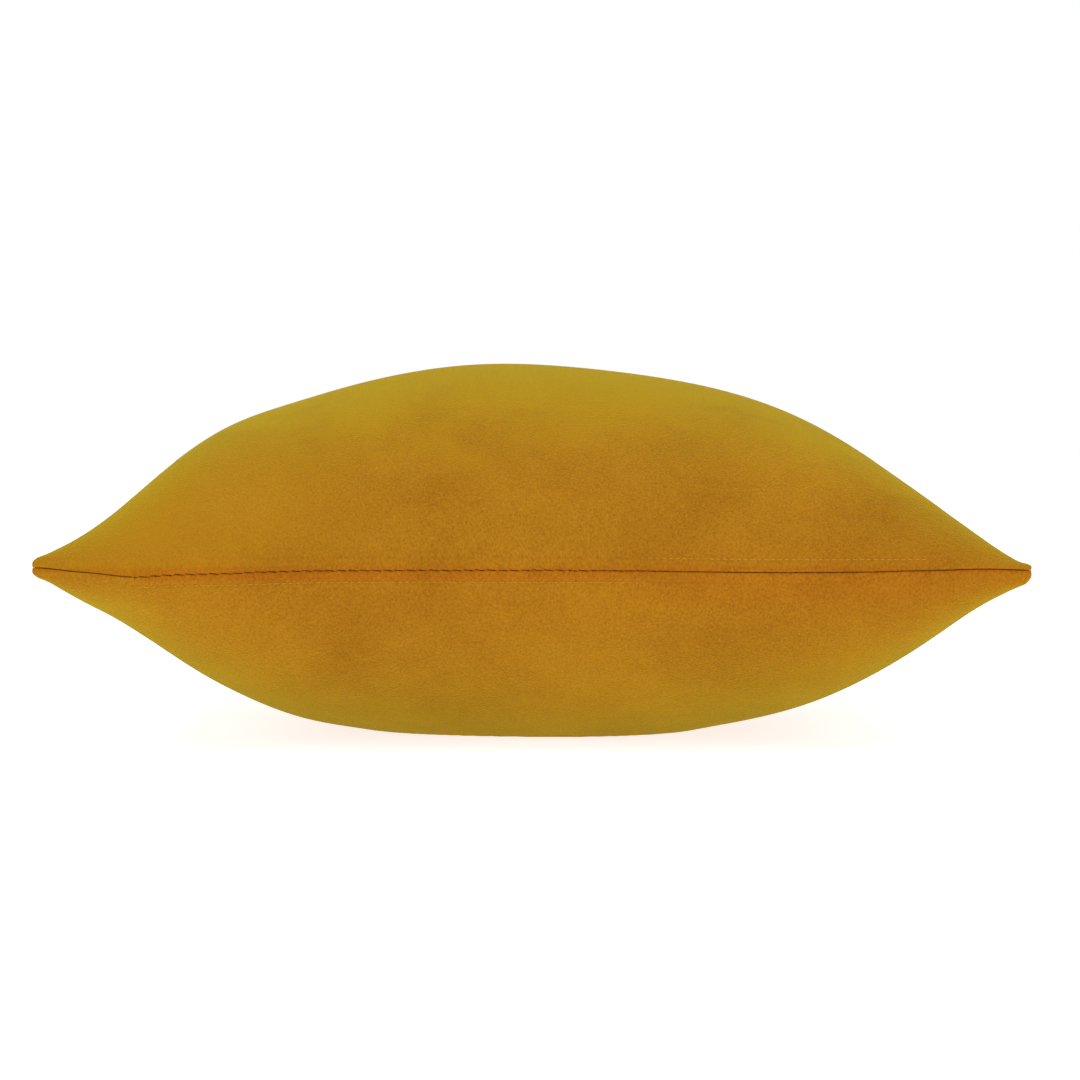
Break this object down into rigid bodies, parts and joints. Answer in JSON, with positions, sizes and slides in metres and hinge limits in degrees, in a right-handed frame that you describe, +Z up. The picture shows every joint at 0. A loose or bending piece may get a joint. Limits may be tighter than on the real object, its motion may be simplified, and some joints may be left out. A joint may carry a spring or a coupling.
{
  "type": "throw pillow",
  "caption": "Square knife-edge velvet throw pillow: zipped two-panel cover with a hidden coil zip in one edge, over a separate filled inner pad.",
  "frame": {"origin": "on the surface that the pillow rests on, under the middle of its plan", "axes": "+Z up, from the rest face to the crown; -Y towards the edge that holds the zip; +X along that edge, away from the slider's closed end"},
  "size_m": [0.4376, 0.4376, 0.175],
  "materials": {
    "velvet": "mustard velvet pile",
    "sewing_thread": "spun polyester thread",
    "zip_tape": "woven polyester tape",
    "zip_coil": "nylon monofilament",
    "zip_cord": "braided filler cord",
    "zip_metal": "semi-gloss lacquered zinc",
    "pad_case": "spunbonded non-woven",
    "pad_thread": "spun polyester thread",
    "pad_filling": "hollow-fibre polyester"
  },
  "bodies": {
    "cover": {"cover_top_panel": "velvet", "cover_bottom_panel": "velvet", "zip_lip_upper": "velvet", "zip_lip_lower": "velvet", "cover_seam_thread": "sewing_thread", "cover_overlock_thread": "sewing_thread", "zip_stitching_upper": "sewing_thread", "zip_stitching_lower": "sewing_thread", "zip_bar_tack_left": "sewing_thread", "zip_bar_tack_right": "sewing_thread", "zip_tape_upper": "zip_tape", "zip_tape_lower": "zip_tape", "zip_coil_upper": "zip_coil", "zip_coil_lower": "zip_coil", "zip_cord_upper": "zip_cord", "zip_cord_lower": "zip_cord", "zip_top_stops": "zip_metal", "zip_bottom_stop": "zip_metal", "pad_case_top": "pad_case", "pad_case_bottom": "pad_case", "pad_seam_thread": "pad_thread", "pad_closing_thread": "pad_thread", "pad_filling": "pad_filling"},
    "slider": {"zip_slider": "zip_metal"},
    "pull_tab": {"zip_pull_tab": "zip_metal"}
  },
  "joints": [
    {"name": "slider_travel", "type": "hinge", "parent": "cover", "child": "slider", "pos_m": [0, -1.21633, 0.084], "axis": [0, 0, -1], "range_deg": [0, 18.46], "deforming": ["zip_coil_upper", "zip_coil_lower", "zip_cord_upper", "zip_cord_lower"]},
    {"name": "pull_swing", "type": "hinge", "parent": "slider", "child": "pull_tab", "pos_m": [-0.16666, -0.2056, 0.084], "axis": [0, 0, -1], "range_deg": [0, 140], "deforming": ["zip_lip_upper", "zip_lip_lower"]}
  ]
}
